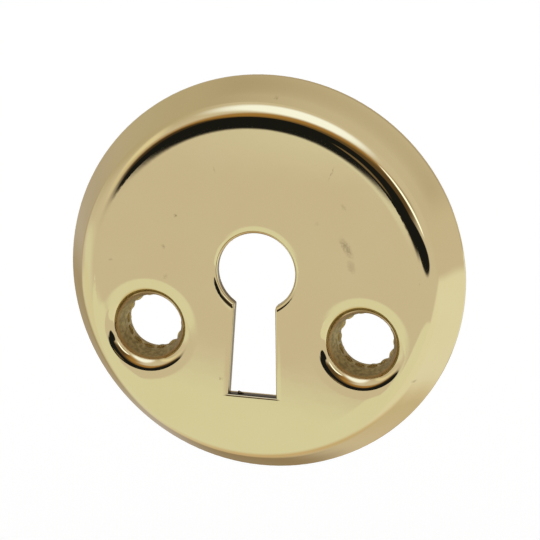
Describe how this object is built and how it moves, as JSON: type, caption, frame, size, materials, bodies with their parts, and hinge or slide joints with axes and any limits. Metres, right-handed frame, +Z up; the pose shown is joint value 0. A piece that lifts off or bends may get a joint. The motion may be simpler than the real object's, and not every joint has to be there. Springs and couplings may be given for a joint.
{
  "type": "keyhole escutcheon",
  "caption": "Round pressed brass keyhole escutcheon: raised flat face, sloping flank, keyhole with a flared slot, and screw holes with rolled mouths and toothed collars.",
  "frame": {"origin": "centre of the plate's back plane, where its rim lies against the door or drawer front", "axes": "+Z up with the keyhole's slot pointing down, +X to the right seen from the front, +Y from the polished face into the door"},
  "size_m": [0.05, 0.0065, 0.05],
  "materials": {
    "polished_brass": "polished"
  },
  "bodies": {
    "root": {"escutcheon_plate": "polished_brass"}
  },
  "joints": []
}
